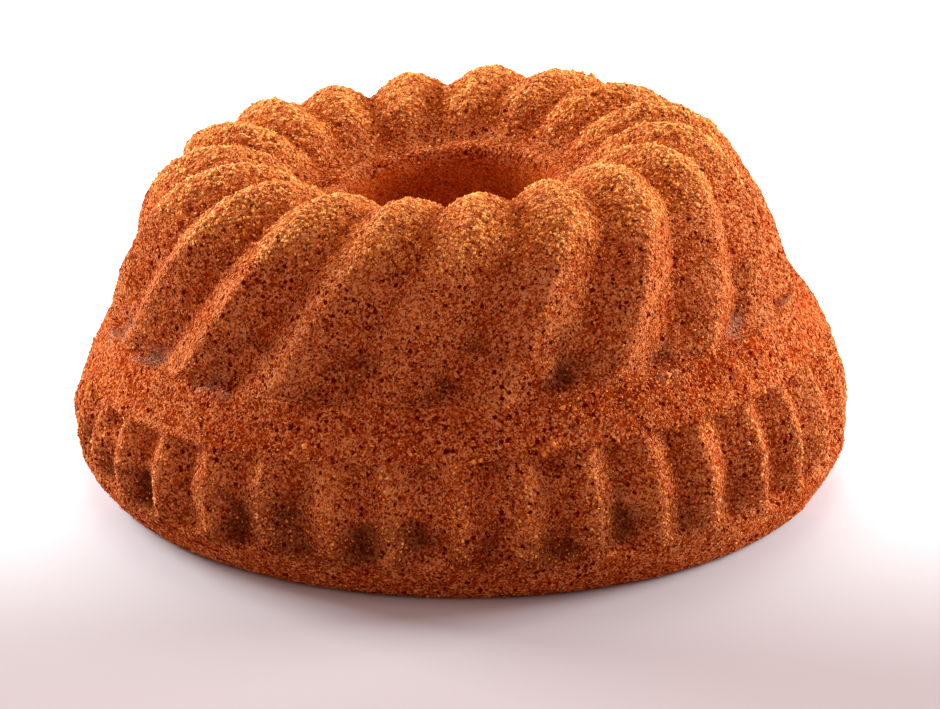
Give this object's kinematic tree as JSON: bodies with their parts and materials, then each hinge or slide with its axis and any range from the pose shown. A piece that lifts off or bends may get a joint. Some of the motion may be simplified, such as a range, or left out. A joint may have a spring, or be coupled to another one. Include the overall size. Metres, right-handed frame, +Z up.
{
  "type": "bundt cake",
  "caption": "Uncut ring-shaped sponge cake with swirling ridges round its crown, an upright fluted side, a plain rim and a tapered hole through its middle, resting on its level base.",
  "frame": {"origin": "middle of the cake's footprint, on the level base", "axes": "+Z up through the hole, -Y towards the side that the picture shows, -X towards the side that the body has sunk to"},
  "size_m": [0.2408, 0.2402, 0.1139],
  "materials": {
    "crust": "matte browned cake crust with open pores and golden crumbs"
  },
  "bodies": {
    "root": {"cake": "crust"}
  },
  "joints": []
}
